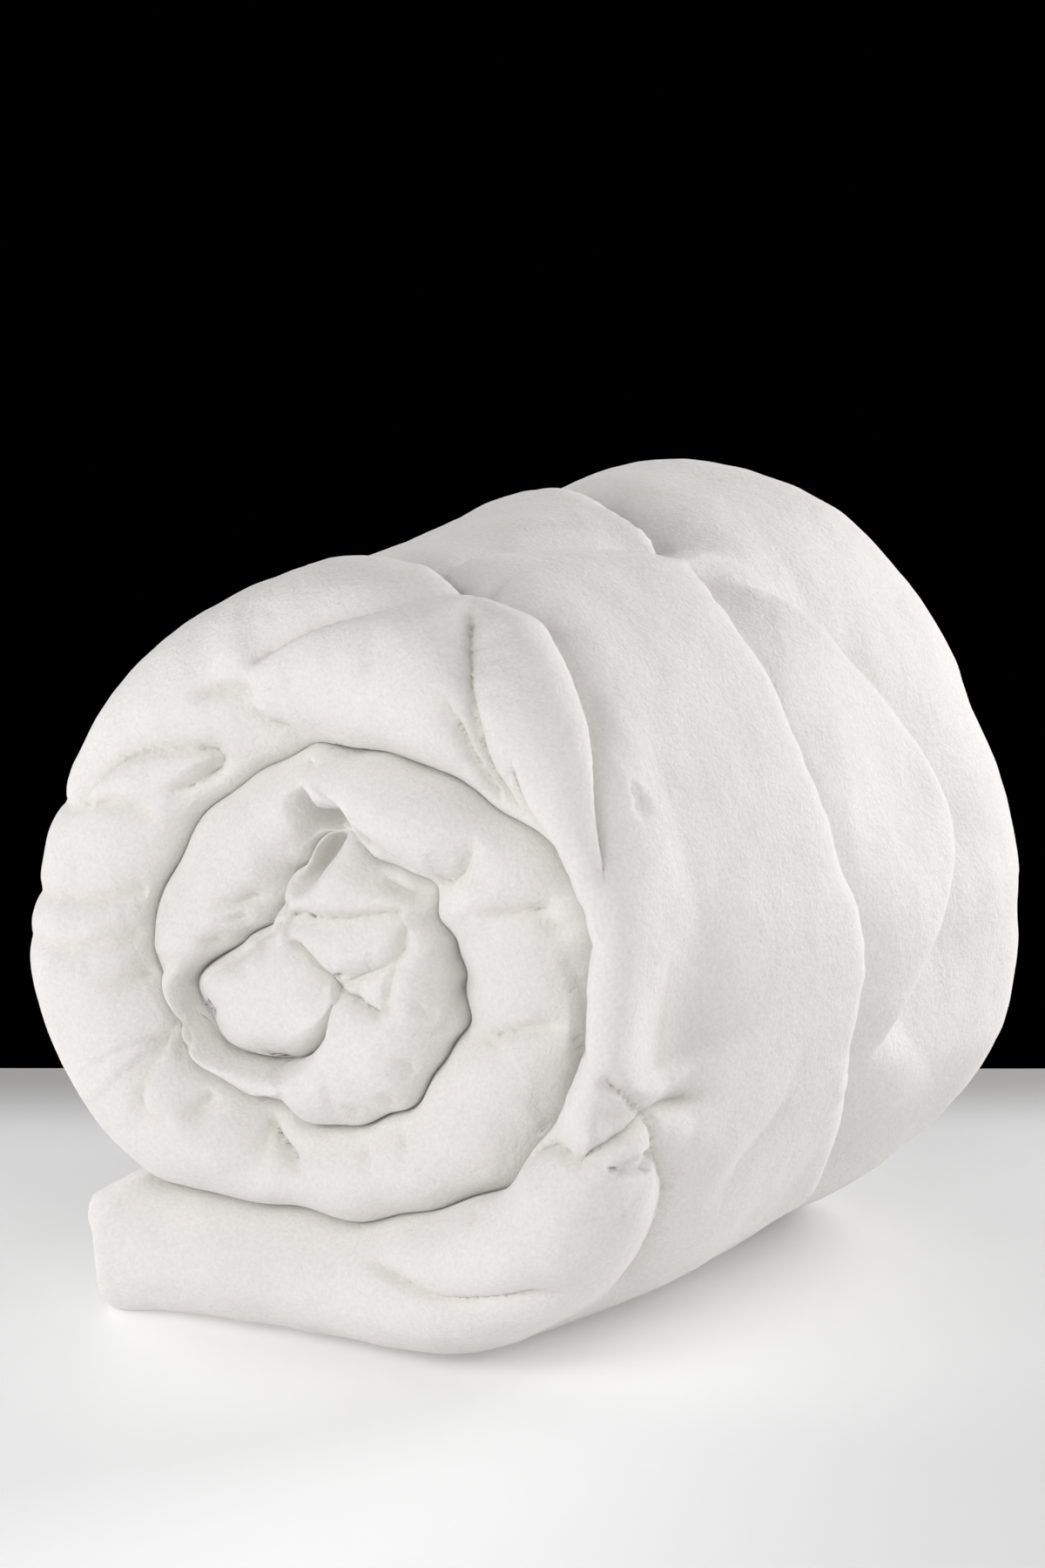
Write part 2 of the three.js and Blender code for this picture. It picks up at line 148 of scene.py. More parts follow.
# The folds of the outer side, each a groove along a path of (x, y, z) near the cloth.
# depth and width shape the soft shoulders, cut is the sharp bottom, lift raises the right side
# of the path (seen from outside), lap pushes that side over the other, rightWidth is given where
# one side is a steep lip, and pucker is the height of the small wrinkles across the fold. fade
# gives the shares of the path over which the fold comes and goes. An open one is a soft hollow.
# Seven of them lie on sides that the photo doesn't show and are guessed.
outerFolds = [
    dict(name="edge of the front band", depth=11, width=36, cut=4, lift=3, lap=3, fade=(0.15, 0.0),
         path=[(-72, -212, 394), (-45, -210, 414), (-21, -206, 428), (9, -200, 438), (48, -165, 444),
               (88, -150, 440)]),
    dict(name="behind the near ring", depth=20, width=26, rightWidth=60, cut=5, lap=-4,
         pucker=0.7, fade=(0.12, 0.2),
         path=[(62, -152, 441), (44, -150, 442), (10, -132, 458), (-60, -108, 450),
               (-130, -92, 415), (-185, -85, 350), (-212, -78, 270), (-205, -75, 180)]),
    dict(name="lip of the middle ring", depth=13, width=40, cut=5, lift=4, lap=3, fade=(0.1, 0.0),
         path=[(-60, -108, 450), (3, -132, 460), (19, -81, 460), (59, -15, 454), (75, 23, 449)]),
    dict(name="before the far ring", depth=22, width=24, rightWidth=64, cut=5, lift=-4, lap=-4,
         pucker=0.7, fade=(0.1, 0.2),
         path=[(75, 23, 449), (59, 40, 453), (27, 57, 459), (-29, 96, 455),
               (-110, 105, 415), (-165, 100, 350), (-190, 95, 260), (-175, 95, 160)]),
    dict(name="back of the near belly", depth=18, width=66, rightWidth=24, cut=5, lift=4, lap=3,
         pucker=0.6, fade=(0.14, 0.1),
         path=[(92, 22, 442), (104, 18, 436), (143, -6, 406), (190, -14, 342), (212, -6, 280),
               (218, 6, 214), (211, 5, 168), (198, 25, 122), (160, 62, 72), (130, 76, 40)]),
    dict(name="front of the far belly", depth=13, width=56, rightWidth=15, cut=3, lift=6, lap=2,
         fade=(0.22, 0.15),
         path=[(98, 20, 439), (132, 65, 418), (174, 95, 380), (200, 122, 349), (212, 138, 326),
               (220, 142, 300), (224, 136, 268), (226, 115, 238), (223, 88, 198), (215, 57, 167),
               (202, 34, 129)]),
    dict(name="left side of the leaf fold", depth=15, width=30, cut=5, pucker=0.5, fade=(0.1, 0.15),
         path=[(58, -172, 443), (70, -196, 430), (74, -204, 416), (79, -213, 399), (84, -219, 380),
               (94, -220, 350), (112, -214, 330)]),
    dict(name="groove beside the leaf fold", depth=10, width=20, cut=4, fade=(0.3, 0.1),
         path=[(64, -222, 404), (69, -224, 391), (77, -222, 375), (82, -220, 363), (89, -216, 351),
               (96, -210, 338)]),
    dict(name="right side of the leaf fold", depth=14, width=36, rightWidth=30, cut=4, lift=3, lap=2,
         fade=(0.1, 0.12),
         path=[(79, -141, 439), (100, -156, 431), (119, -166, 419), (132, -173, 402),
               (142, -182, 386), (150, -192, 370), (156, -202, 352), (160, -209, 334),
               (163, -214, 318), (165, -218, 300)]),
    dict(name="gather at the lower right", depth=16, width=36, cut=5, lift=3, lap=2, pucker=0.9,
         fade=(0.12, 0.25),
         path=[(121, -216, 136), (141, -219, 143), (158, -222, 146), (170, -208, 155),
               (177, -186, 163), (183, -169, 165), (189, -149, 165), (193, -128, 168)]),
    dict(name="pinch above the gather", depth=9, width=22, cut=4, fade=(0.3, 0.1),
         path=[(164, -228, 195), (174, -218, 187), (176, -188, 166)]),
    dict(name="hollow left of the gather", depth=9, width=26, open=True,
         path=[(165, -222, 172), (174, -208, 169)]),
    dict(name="gather running down to the floor", depth=15, width=40, cut=4, pucker=0.6,
         fade=(0.0, 0.0),
         path=[(177, -187, 164), (178, -183, 153), (176, -175, 139), (171, -151, 119),
               (166, -141, 101), (158, -134, 82), (142, -120, 58), (122, -108, 34)]),
    dict(name="hollow beside the front edge", depth=16, width=88, open=True, fade=(0.7, 0.1),
         path=[(178, -176, 285), (182, -172, 250), (183, -169, 215), (180, -164, 182)]),
    dict(name="slack low on the near belly", depth=4, width=26, fade=(0.3, 0.3),
         path=[(213, -63, 190), (208, -65, 162), (200, -72, 138), (186, -92, 112), (170, -98, 84)]),
    dict(name="lip of the layer on the floor", depth=8, width=28, cut=3, lift=2, lap=2,
         fade=(0.3, 0.25),
         path=[(0, -213, 68), (22, -213, 59), (58, -218, 52), (93, -223, 52), (122, -217, 57),
               (139, -200, 62)]),
    dict(name="drag round the left of the middle ring", depth=7, width=34, cut=2, fade=(0.3, 0.3),
         path=[(-214, -20, 180), (-216, 5, 240), (-205, 25, 300), (-186, 40, 345), (-150, 52, 390)]),
    dict(name="low crease at the left", depth=9, width=30, cut=3, pucker=0.5, fade=(0.25, 0.25),
         path=[(-200, -150, 130), (-208, -90, 118), (-204, -20, 112), (-196, 60, 120),
               (-188, 130, 140), (-178, 190, 165)]),
    dict(name="crease at the back left", depth=10, width=34, cut=3, fade=(0.3, 0.2),
         path=[(-196, 110, 330), (-190, 160, 322), (-178, 200, 316), (-150, 236, 308),
               (-110, 250, 300)]),
    dict(name="crease across the far end", depth=14, width=36, cut=4, pucker=0.7, fade=(0.2, 0.2),
         path=[(-120, 254, 190), (-60, 255, 160), (0, 255, 150), (70, 255, 165), (140, 250, 200),
               (190, 230, 240)]),
    dict(name="upper crease of the far end", depth=15, width=38, cut=4, lift=3, lap=2,
         fade=(0.2, 0.25),
         path=[(-90, 255, 300), (-40, 255, 335), (20, 255, 345), (70, 255, 325), (100, 254, 280),
               (90, 255, 235), (50, 255, 205)]),
    dict(name="inner crease of the far end", depth=12, width=28, cut=3, fade=(0.2, 0.3),
         path=[(-60, 255, 210), (-65, 255, 255), (-30, 255, 285), (15, 255, 282), (40, 255, 255)]),
    dict(name="gather low at the far end", depth=12, width=30, cut=4, pucker=0.6, fade=(0.1, 0.3),
         path=[(60, 240, 30), (50, 252, 70), (30, 255, 110)]),
    dict(name="notch at the left", depth=8, width=24, cut=3, fade=(0.3, 0.2),
         path=[(-214, -150, 300), (-200, -190, 303), (-186, -213, 306), (-174, -218, 309),
               (-155, -222, 313), (-138, -216, 309), (-122, -214, 301)]),
    dict(name="upper pinch at the left", depth=6, width=24, cut=3, pucker=0.4, fade=(0.2, 0.1),
         path=[(-222, -180, 248), (-203, -226, 256), (-174, -233, 256), (-153, -228, 258),
               (-130, -208, 263)]),
    dict(name="lower pinch at the left", depth=6, width=22, cut=3, pucker=0.4, fade=(0.2, 0.1),
         path=[(-212, -200, 226), (-193, -234, 228), (-172, -237, 228), (-156, -232, 232),
               (-130, -210, 238)]),
]

# The folds of the end face, the same but with paths of (x, z) laid on it
faceFolds = [
    dict(name="lower edge of the panel above", depth=9, width=28, cut=4, lift=-3, fade=(0.0, 0.2),
         path=[(-69, 384), (-65, 374), (-60, 368), (-50, 361), (-37, 356), (-18, 356)]),
    dict(name="pinch of the panel", depth=10, width=26, cut=5, fade=(0.6, 0.0),
         path=[(-108, 380), (-90, 383), (-69, 384)]),
    dict(name="slack down the panel", depth=4, width=24, fade=(0.2, 0.5),
         path=[(8, 436), (17, 424), (18, 405), (16, 388)]),
    dict(name="upper left lip", depth=10, width=26, cut=4, lift=2, pucker=0.3, fade=(0.1, 0.0),
         path=[(-186, 304), (-172, 322), (-155, 335), (-142, 341), (-128, 344), (-104, 345),
               (-90, 342), (-86, 334), (-91, 326)]),
    dict(name="wrinkle inside the lip", depth=6, width=14, cut=4, fade=(0.5, 0.0),
         path=[(-126, 325), (-107, 318), (-98, 319), (-90, 325)]),
    dict(name="tuck at the upper left", depth=13, width=15, path=[(-95, 323), (-88, 327)]),
    dict(name="third pinch at the left", depth=8, width=22, cut=4, fade=(0.6, 0.0),
         path=[(-168, 204), (-151, 206), (-141, 210), (-130, 216)]),
    dict(name="small pinch beside it", depth=5, width=13, cut=3, fade=(0.6, 0.0),
         path=[(-148, 219), (-137, 220), (-126, 225)]),
    dict(name="outer edge of the lower left pleat", depth=7, width=22, cut=2, lift=-2,
         fade=(0.0, 0.3),
         path=[(-108, 190), (-114, 184), (-122, 175), (-130, 162), (-133, 150), (-129, 138),
               (-119, 132), (-108, 132)]),
    dict(name="inner edge of the lower left pleat", depth=8, width=22, cut=4, fade=(0.3, 0.35),
         path=[(-108, 132), (-97, 140), (-92, 148), (-90, 156)]),
    dict(name="tuck at the lower left", depth=6, width=16, cut=3, fade=(0.3, 0.4),
         path=[(-104, 190), (-102, 183), (-105, 174), (-110, 166)]),
    dict(name="branch below the core", depth=13, width=28, cut=5, fade=(0.2, 0.25),
         path=[(-56, 150), (-55, 143), (-54, 137), (-49, 128), (-40, 118), (-30, 107)]),
    dict(name="crease down the left of the core", depth=10, width=26, cut=4, lift=-2,
         fade=(0.15, 0.0),
         path=[(-34, 249), (-22, 238), (-12, 229), (-2, 221), (7, 216)]),
    dict(name="crease up the right of the core", depth=7, width=20, cut=3, fade=(0.0, 0.3),
         path=[(-4, 223), (8, 230), (26, 239), (36, 250), (39, 262)]),
    dict(name="point of the core", depth=8, width=16, cut=5, fade=(0.0, 0.2),
         path=[(7, 216), (15, 212), (25, 209)]),
    dict(name="inner side of the core's arm", depth=6, width=18, cut=3, fade=(0.1, 0.1),
         path=[(39, 266), (34, 250), (30, 238), (27, 223), (26, 209)]),
    dict(name="crease across the core", depth=10, width=28, cut=3, lift=-2, fade=(0.15, 0.1),
         path=[(-42, 258), (-25, 261), (-2, 263), (20, 266), (39, 270)]),
    dict(name="sunk cloth beside the thumb", depth=13, width=22,
         path=[(24, 288), (36, 283), (48, 280)]),
    dict(name="left side of the thumb", depth=12, width=24, cut=4, lift=-3, fade=(0.15, 0.0),
         path=[(14, 322), (26, 312), (36, 302), (42, 294), (52, 289), (64, 290)]),
    dict(name="right side of the thumb", depth=10, width=22, cut=4, fade=(0.0, 0.5),
         path=[(64, 290), (73, 297), (79, 308), (84, 322)]),
    dict(name="crease beside the thumb", depth=5, width=18, cut=2, fade=(0.0, 0.5),
         path=[(66, 290), (80, 293), (102, 290)]),
    dict(name="upper crease of the second turn", depth=8, width=24, cut=3, fade=(0.5, 0.0),
         path=[(72, 270), (95, 274), (111, 276), (128, 280)]),
    dict(name="lower crease of the second turn", depth=7, width=20, cut=3, fade=(0.1, 0.1),
         path=[(66, 200), (85, 204), (106, 208), (129, 210), (144, 205)]),
    dict(name="slanting crease of the second turn", depth=5, width=16, cut=2, fade=(0.2, 0.1),
         path=[(118, 277), (128, 271), (136, 266), (143, 254)]),
    dict(name="first wrinkle at the left", depth=5, width=12, cut=3, fade=(0.6, 0.0),
         path=[(-96, 260), (-72, 262), (-42, 266)]),
    dict(name="second wrinkle at the left", depth=5, width=11, cut=3, fade=(0.6, 0.0),
         path=[(-88, 251), (-66, 251), (-43, 257)]),
    dict(name="third wrinkle at the left", depth=6, width=14, cut=2, fade=(0.4, 0.2),
         path=[(-98, 241), (-80, 236), (-58, 242)]),
    dict(name="side of the lower leaf", depth=11, width=22, cut=4, lift=-3, fade=(0.3, 0.25),
         path=[(106, 372), (111, 350), (118, 332), (126, 316), (134, 305)]),
    dict(name="hollow in the heart", depth=34, width=17, open=True,
         path=[(-31, 286), (-27, 299), (-17, 311), (-4, 319)]),
]

# Short tucks where the turns catch each other, at angles along the band's outer face
boundaryTucks = {
    "depth": 5,
    "width": 9,
    "halfLength": 6,
    "angles": [664, 683, 698, 721, 739, 886, 896, 996, 1012, 1032, 1050, 1066],
}

# How any fold presses the cloth. Lengths are in millimetres, shares are of the fold's width
# unless they say otherwise.
foldShape = {
    "pathStep": 4,
    "mostSteps": 80,
    "faceHeight": 5,           # the end face's paths are given this far behind its front
    "looksAround": 2.2,
    "heightCounted": 60,       # up to this height above or below the path,
    "heightLeftOut": 0.8,      # this share of the height counts as no distance
    "softShare": 0.6,          # of the groove's depth
    "hollowReach": 0.5,
    "cutWidth": 8,
    "liftReach": 1.2,
    "liftStart": 4,
    "liftEnds": 0.12,          # share of the path at each end over which the lift fades
    "wrinkle": 2.6,            # the puckers' wave, and the slow wave that makes it uneven
    "wrinkleDrift": 9,
    "wrinkleDriftBy": 2,
    "wrinklePlace": 0.35,
    "wrinkleReach": 0.4,
    "lapReach": 0.6,
    "pushOnFace": 0.35,        # of a lap's sideways push, what is left on the end face
    "straightIn": (10, 34),    # folds nearer the axis press straight in, and further out as usual
    # the crease attribute, which paints shade into the cloth's colour along each fold: its reach, its
    # most, and the depth at which it is full
    "creaseShadeReach": 4,
    "creaseShadeMost": 0.7,
    "creaseShadeFullDepth": 18,
}

# Slow unevenness of the filling, in rows of (height, length, random draw)
swells = [(1.4, 120, 1), (0.6, 48, 2), (0.15, 18, 3)]
swellWaves = 22
swellSpread = (0.6, 1.6)
seed = 7


def through(rows, column, angle):
    # smooth curve through one column of a table, its slope at a row the harmonic mean of the
    # slopes beside it, so that the curve never overshoots the rows
    at = rows[:, 0]
    value = rows[:, column]
    step = np.diff(at)
    slope = np.diff(value) / step
    tangent = np.zeros(len(at))
    both = slope[:-1] * slope[1:]
    mean = 2 * both / np.where(both > 0, slope[:-1] + slope[1:], 1)
    tangent[1:-1] = np.where(both > 0, mean, 0)
    tangent[0] = slope[0]
    tangent[-1] = slope[-1]
    x = np.clip(angle, at[0], at[-1])
    i = np.clip(np.searchsorted(at, x) - 1, 0, len(at) - 2)
    t = (x - at[i]) / step[i]
    startShare = 2 * t**3 - 3 * t**2 + 1
    pull = (t**3 - 2 * t**2 + t) * tangent[i] + (t**3 - t**2) * tangent[i + 1]
    return startShare * value[i] + (1 - startShare) * value[i + 1] + pull * step[i]


def smoothStep(x, low, high):
    t = np.clip((x - low) / (high - low), 0, 1)
    return t * t * (3 - 2 * t)


def wholeBand():
    # the three turns of the table laid one after another, as rows of (angle, radius)
    turns = [windingRows[:, [0, windingColumns.index("skin")]]]
    for turn, name in ((1, "second"), (2, "core")):
        rows = windingRows[1:, [0, windingColumns.index(name)]].copy()
        rows[:, 0] += 360 * turn
        turns.append(rows)
    turns.append(np.array([[winding["bandEndAngle"], winding["bandEndRadius"]]], dtype=float))
    return np.concatenate(turns)


bandRows = wholeBand()


def slowWaves(waves, angle):
    # sum of sines of the direction along the band
    return sum(share * np.sin(np.radians(angle * perTurn + start)) for perTurn, start, share in waves)


def outerRadius(angle):
    # the band's outer face, with a small uneven wave where it lies inside another turn
    inner = smoothStep(angle, *changes["wobbleStarts"]) * (1 - smoothStep(angle, *changes["wobbleEnds"]))
    wave = slowWaves(boundaryWaves, angle)
    return through(bandRows, 1, angle) + winding["boundaryWobble"] * wave * inner


def innerRadius(angle):
    # the outer face of the next turn inwards, or the heart's hollow where there is none
    nextTurn = outerRadius(angle + 360) - winding["turnsPressed"]
    return np.where(angle + 360 <= winding["bandEndAngle"], nextTurn, winding["heartRadius"])


def gainAlongRoll(angle, y):
    # what the outer turn gains in radius behind the open end: a quarter sine up to the middle,
    # then another from the middle value to the far one
    w = winding
    middle = through(windingRows, windingColumns.index("middle"), angle)
    far = through(windingRows, windingColumns.index("far"), angle)
    rise = np.clip((y - w["gainFrom"]) / (w["gainMiddle"] - w["gainFrom"]), 0, 1)
    onward = np.clip((y - w["gainMiddle"]) / (w["gainTo"] - w["gainMiddle"]), 0, 1)
    before = middle * np.sin(rise * math.pi / 2)
    behind = middle + (far - middle) * np.sin(onward * math.pi / 2)
    gain = np.where(y < w["gainMiddle"], before, behind)
    return np.where(angle > w["outerTurnEnd"], 0, gain)


def bandSections(angle):
    # for each angle one closed loop round the band: across (0 inside, 1 outside), y, how free
    # the cloth is to move, and how far it may move sideways. The open edge of the outer turn is
    # a quarter superellipse. Towards a seam, with s = 0 at the crown and 1 at the seam, the cloth
    # curves back by a mean of s^2, a soft shoulder, and 1 - sqrt(1 - s^8), the seam itself.
    w = winding
    d = density
    a = angle[:, None]
    toSeam = smoothStep(a, *changes["edgeToSeam"])
    isOuter = 1 - smoothStep(a, *changes["skinGoesUnder"])
    intoHeart = smoothStep(a, *changes["intoHeart"])
    outerDepth = w["outerEdgeDepth"] + (w["seamDepth"] - w["outerEdgeDepth"]) * toSeam
    innerDepth = w["seamDepth"] + (w["heartDepth"] - w["seamDepth"]) * intoHeart
    crownPlace = w["outerCrownPlace"] + (w["innerCrownPlace"] - w["outerCrownPlace"]) * toSeam
    sway = slowWaves(swayWaves, a) * (1 - w["swayLostInHeart"] * intoHeart)
    sunk = w["sunkTurn"] * np.exp(-((a - w["sunkAt"]) / w["sunkOver"])**2)
    thin = np.maximum(0, w["squeezedBelow"] - (outerRadius(a) - innerRadius(a)))
    squeezed = w["squeezedShare"] * thin * toSeam * (1 - intoHeart)
    crown = w["nearEnd"] + w["crownSway"] * sway + sunk + squeezed
    loop = {"across": [], "y": [], "free": [], "radial": []}

    def add(across, y, free, radial):
        for key, value in zip(loop, (across, y, free, radial)):
            loop[key].append(value)

    def edge(count, start, end, crownY, inward, outside, seam):
        turn = np.linspace(start, end, count, endpoint=False)[None, :]
        power = 2 / w["edgeSquareness"]
        aside = np.sign(turn) * np.abs(np.sin(turn))**power
        ahead = np.abs(np.cos(turn))**power
        share = np.abs(aside)
        full = 1 - np.sqrt(1 - share**w["shoulderPower"])
        shoulder = w["softShoulder"] * share**2 + w["fullShoulder"] * full
        atSeam = np.where(aside < 0, 1, toSeam) * seam
        back = (1 - ahead) * (1 - atSeam) + shoulder * atSeam
        reach = np.where(aside < 0, crownPlace, 1 - crownPlace)
        depth = np.where(aside < 0, innerDepth, outside)
        sideways = isOuter * smoothStep(aside, *w["sidewaysOn"])
        add(crownPlace + reach * aside, crownY + inward * depth * back, np.ones(back.shape), sideways)

    def run(count, place, start, end, shown):
        # along the roll from start to end, where the first few points still move with the edge
        share = np.linspace(0, 1, count, endpoint=False)[None, :]
        flat = 0 * share + 0 * a
        besideEdge = 1 - smoothStep(share, *w["besideEdge"])
        free = np.maximum(shown + flat, besideEdge)
        add(place + flat, start + (end - start) * share, free, isOuter + flat)

    edge(d["nearEdge"], -math.pi / 2, math.pi / 2, crown, 1, outerDepth, 1)
    run(d["outside"], 1, crown + outerDepth, w["farEnd"] - w["farEdgeDepth"] + 0 * a, isOuter)
    edge(d["farEdge"], math.pi / 2, -math.pi / 2, w["farEnd"], -1, w["farEdgeDepth"] + 0 * a, 0)
    run(d["inside"], 0, w["farEnd"] - innerDepth, crown + innerDepth, 0 * isOuter)
    return [np.concatenate(loop[key], axis=1) for key in loop]


def placeInRoll(angle, across, y):
    # radius from the inner to the outer face of the band, plus the gain along the roll
    a = angle[:, None]
    inner = innerRadius(a)
    radius = inner + (outerRadius(a) - inner) * across
    radius = radius + gainAlongRoll(a + 0 * y, y) * across**winding["gainPower"]
    turn = np.radians(a)
    x = winding["axisX"] + radius * np.cos(turn)
    z = winding["axisZ"] + radius * np.sin(turn)
    return np.stack([x, y, z], axis=2)


def roundedEnd(angle, direction, bulge):
    # closing sections that narrow as the cosine and move ahead as the sine of a quarter turn
    w = winding
    rings = []
    at = np.array([float(angle)])
    across, y, free, radial = bandSections(at)
    middleRadius = float(outerRadius(at)[0] + innerRadius(at)[0]) / 2
    middleY = (w["nearEnd"] + w["farEnd"]) / 2
    for degrees in endRoundings:
        turn = math.radians(degrees)
        keep = math.cos(turn)
        narrowed = middleY + (y - middleY) * (1 - (1 - keep) * w["endTaper"])
        ring = placeInRoll(at, 0.5 + (across - 0.5) * keep, narrowed)[0]
        around = direction * bulge * math.sin(turn) / middleRadius
        x = ring[:, 0] - w["axisX"]
        z = ring[:, 2] - w["axisZ"]
        ring[:, 0] = w["axisX"] + x * math.cos(around) - z * math.sin(around)
        ring[:, 2] = w["axisZ"] + x * math.sin(around) + z * math.cos(around)
        rings.append(ring)
    return np.array(rings)


def windBand():
    # a grid of places, ring after ring from the loose end to the heart. The rounded ends don't
    # take part in any fold, so their weights are 0.
    w = winding
    d = density
    angle = np.concatenate([
        np.linspace(w["looseEndAngle"], w["innerTurnsStart"], d["outerTurnRings"], endpoint=False),
        np.linspace(w["innerTurnsStart"], w["secondTurnEnd"], d["secondTurnRings"], endpoint=False),
        np.linspace(w["secondTurnEnd"], w["bandEndAngle"], d["coreRings"]),
    ])
    across, y, free, radial = bandSections(angle)
    body = placeInRoll(angle, across, y)
    looseEnd = roundedEnd(w["looseEndAngle"], -1, w["looseEndBulge"])[::-1]
    heartEnd = roundedEnd(w["bandEndAngle"], 1, w["heartEndBulge"])
    place = np.concatenate([looseEnd, body, heartEnd])
    pad = ((len(looseEnd), len(heartEnd)), (0, 0))
    return place, np.pad(free, pad), np.pad(radial, pad), len(looseEnd)


def outwardOf(place):
    # cross product of the steps across and along the band. Round the axis, where the rings of
    # the heart run together, it is turned to point straight out of the end.
    along = np.gradient(place, axis=0)
    across = np.roll(place, -1, 1) - np.roll(place, 1, 1)
    outward = np.cross(across, along)
    outward /= np.linalg.norm(outward, axis=2, keepdims=True) + 1e-9
    fromAxis = np.hypot(place[..., 0] - winding["axisX"], place[..., 2] - winding["axisZ"])
    atCentre = 1 - smoothStep(fromAxis, *foldShape["straightIn"])
    outward *= (1 - atCentre)[..., None]
    outward[..., 1] += atCentre * np.sign(place[..., 1])
    return outward / (np.linalg.norm(outward, axis=2, keepdims=True) + 1e-9)


def smoothPath(points):
    # Catmull-Rom curve through the points, in steps of about foldShape's pathStep
    p = np.array(points, dtype=float)
    length = np.linalg.norm(np.diff(p, axis=0), axis=1).sum()
    count = int(np.clip(length / foldShape["pathStep"], 4, foldShape["mostSteps"]))
    q = np.concatenate([2 * p[:1] - p[1:2], p, 2 * p[-1:] - p[-2:-1]])
    t = np.linspace(0, len(p) - 1 - 1e-9, count)
    i = t.astype(int)
    f = (t - i)[:, None]
    a, b, c, d = q[i], q[i + 1], q[i + 2], q[i + 3]
    square = 2 * a - 5 * b + 4 * c - d
    cube = 3 * b - a - 3 * c + d
    return 0.5 * (2 * b + (c - a) * f + square * f**2 + cube * f**3)


def onFace(path):
    return [(x, winding["nearEnd"] + foldShape["faceHeight"], z) for x, z in path]


def allFolds():
    # both tables, and a short tuck straight across the boundary at each of the tucks' angles
    folds = list(outerFolds)
    folds += [dict(fold, path=onFace(fold["path"])) for fold in faceFolds]
    tuck = boundaryTucks
    angles = np.array(tuck["angles"], dtype=float)
    for turn, radius in zip(np.radians(angles), outerRadius(angles)):
        ends = [radius - tuck["halfLength"], radius + tuck["halfLength"]]
        path = [
            (winding["axisX"] + r * math.cos(turn), winding["axisZ"] + r * math.sin(turn)) for r in ends
        ]
        folds.append(dict(name="tuck", depth=tuck["depth"], width=tuck["width"], path=onFace(path)))
    return folds


def nearPath(line, p, n):
    # for each point p its distance from the path, the side it lies on, its share along the path
    # and the way that side faces. Distance is measured along the cloth, with most of the height
    # above the path, along the cloth's outward direction n, left out.
    shape = foldShape
    best = np.full(len(p), 1e9)
    side = np.zeros(len(p))
    along = np.zeros(len(p))
    sideways = np.zeros((len(p), 3))
    for k in range(len(line) - 1):
        step = line[k + 1] - line[k]
        share = np.clip((p - line[k]) @ step / max(step @ step, 1e-6), 0, 1)
        away = p - line[k] - share[:, None] * step
        height = away @ n[k]
        leftOut = np.where(np.abs(height) < shape["heightCounted"], shape["heightLeftOut"] * height, 0)
        away = away - leftOut[:, None] * n[k]
        distance = np.sqrt((away**2).sum(axis=1))
        right = np.cross(step, n[k])
        right = right / (np.linalg.norm(right) + 1e-9)
        closer = distance < best
        best = np.where(closer, distance, best)
        side = np.where(closer, np.sign(away @ right), side)
        along = np.where(closer, (k + share) / (len(line) - 1), along)
        sideways = np.where(closer[:, None], right, sideways)
    return best, side, along, sideways


def pressFold(fold, points, normals, shown):
    # how far one fold moves the points near it. With q = 1 at the path and 0 at its width, the
    # groove is a mean of q^2, soft, and 1 - sqrt(1 - q^2), full; an open hollow is a bell. The cut
    # is narrow, the lifted side fades as a bell, and the puckers are waves along the path that
    # fade sideways.
    shape = foldShape
    width = fold["width"]
    rightWidth = fold.get("rightWidth", width)
    lap = fold.get("lap", 0)
    fade = fold.get("fade", (0, 0))
    line = smoothPath(fold["path"])
    margin = shape["looksAround"] * max(width, rightWidth)
    inBox = np.all((points > line.min(axis=0) - margin) & (points < line.max(axis=0) + margin), axis=1)
    near = np.where(shown & inBox)[0]
    p = points[near]
    nearest = near[np.argmin(((p[None] - line[:, None])**2).sum(axis=2), axis=1)]
    n = normals[nearest]
    line = line - ((line - points[nearest]) * n).sum(axis=1, keepdims=True) * n
    best, side, along, sideways = nearPath(line, p, n)
    strength = np.ones(len(near))
    if fade[0]:
        strength *= smoothStep(along, -0.02, fade[0])
    if fade[1]:
        strength *= 1 - smoothStep(along, 1 - fade[1], 1.02)
    reach = np.where(side > 0, rightWidth, width)
    q = np.clip(1 - best / reach, 0, 1)
    if fold.get("open"):
        groove = fold["depth"] * np.exp(-(best / (shape["hollowReach"] * reach))**2)
    else:
        full = 1 - np.sqrt(1 - q**2)
        groove = fold["depth"] * (shape["softShare"] * q**2 + (1 - shape["softShare"]) * full)
    c = np.clip(1 - best / shape["cutWidth"], 0, 1)
    sharp = fold.get("cut", 0) * (1 - np.sqrt(1 - c**2))
    bell = np.exp(-(best / (shape["liftReach"] * max(width, rightWidth)))**2)
    bell = bell * np.clip(best / shape["liftStart"], 0, 1)
    length = along * shape["pathStep"] * len(line)
    drift = shape["wrinkleDriftBy"] * np.sin(length / shape["wrinkleDrift"])
    wave = np.sin(length / shape["wrinkle"] + drift)
    beside = np.exp(-((best - shape["wrinklePlace"] * width) / (shape["wrinkleReach"] * width))**2)
    ends = shape["liftEnds"]
    within = smoothStep(along, 0, ends) * (1 - smoothStep(along, 1 - ends, 1))
    raised = within * fold.get("lift", 0) * side * bell + fold.get("pucker", 0) * wave * beside
    onTop = side * lap > 0
    push = -lap * strength * np.exp(-(best / (shape["lapReach"] * reach))**2) * onTop
    deepness = min(1, (fold["depth"] + fold.get("cut", 0)) / shape["creaseShadeFullDepth"])
    # how much painted shade the cloth gets along this fold's line
    crease = shape["creaseShadeMost"] * strength * np.exp(-(best / shape["creaseShadeReach"])**2) * deepness
    return near, strength * (groove + sharp), strength * raised, sideways * push[:, None], crease


